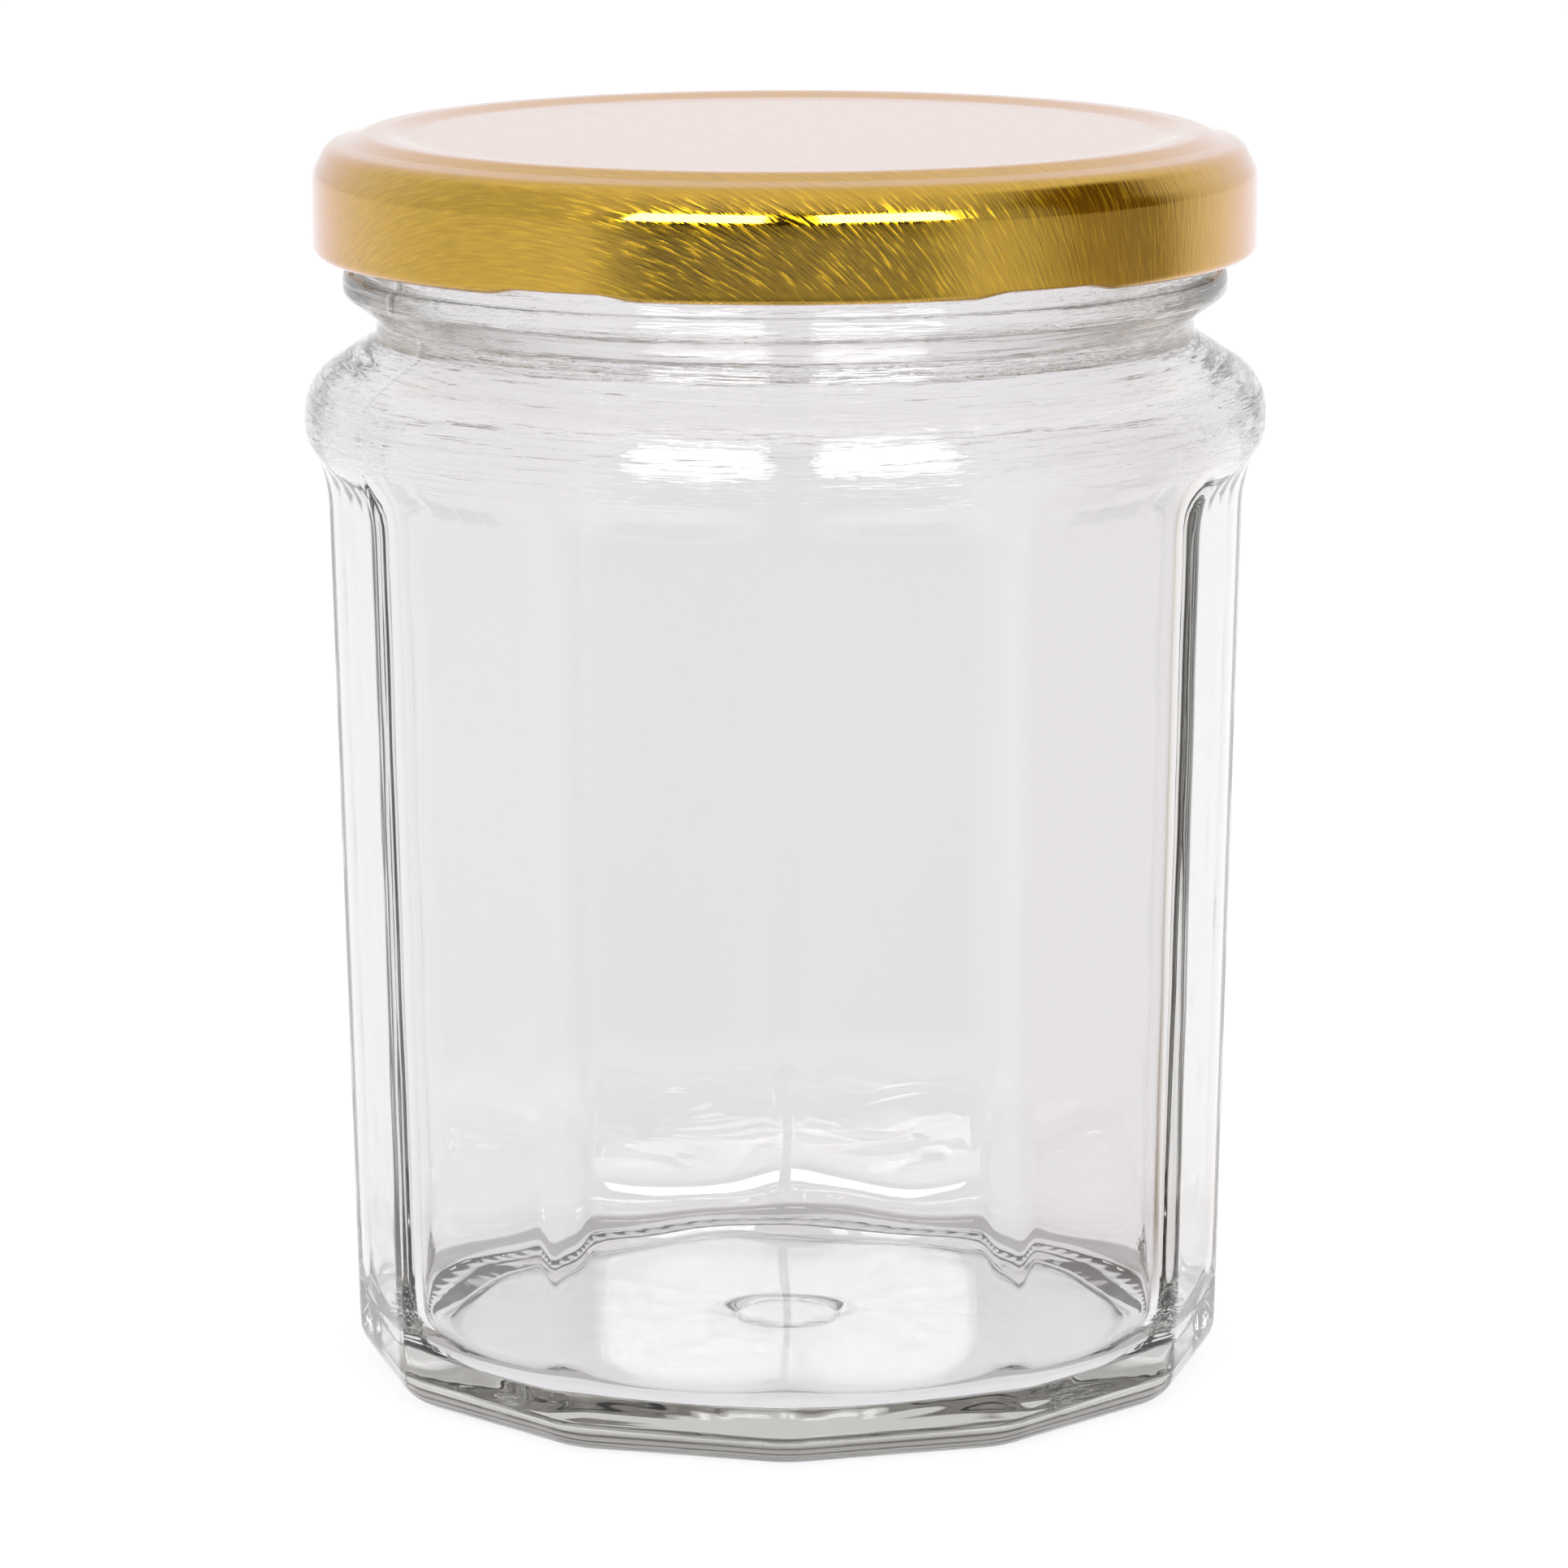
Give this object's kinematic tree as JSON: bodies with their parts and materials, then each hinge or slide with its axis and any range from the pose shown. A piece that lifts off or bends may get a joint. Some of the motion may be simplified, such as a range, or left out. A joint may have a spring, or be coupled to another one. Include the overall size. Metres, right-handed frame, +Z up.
{
  "type": "mason jar",
  "caption": "Faceted clear glass preserving jar with a screwed-on gold twist-off lug lid and an inner sealing ring.",
  "frame": {"origin": "centre of the jar's footprint, on the plane it stands on", "axes": "+Z up along the jar's axis; +X and +Y each point at a facet edge"},
  "size_m": [0.0874, 0.0874, 0.1142],
  "materials": {
    "clear_glass": "clear, polished",
    "gold_tinplate": "brushed tinplate under a clear gold lacquer",
    "plastisol": "soft matt"
  },
  "bodies": {
    "jar": {"glass_jar": "clear_glass"},
    "seal": {"sealing_gasket": "plastisol"},
    "lid": {"lid_shell": "gold_tinplate"}
  },
  "joints": [
    {"name": "lid_lift", "type": "slide", "parent": "jar", "child": "seal", "axis": [0, 0, 1], "range_m": [0, 0.024]},
    {"name": "lid_twist", "type": "hinge", "parent": "seal", "child": "lid", "pos_m": [0, 0, 0.1033], "axis": [0, 0, 1], "range_deg": [0, 360]}
  ],
  "couplings": [
    {"joint": "lid_lift", "follows": "lid_twist", "m_per_rad": 0.0038197}
  ]
}
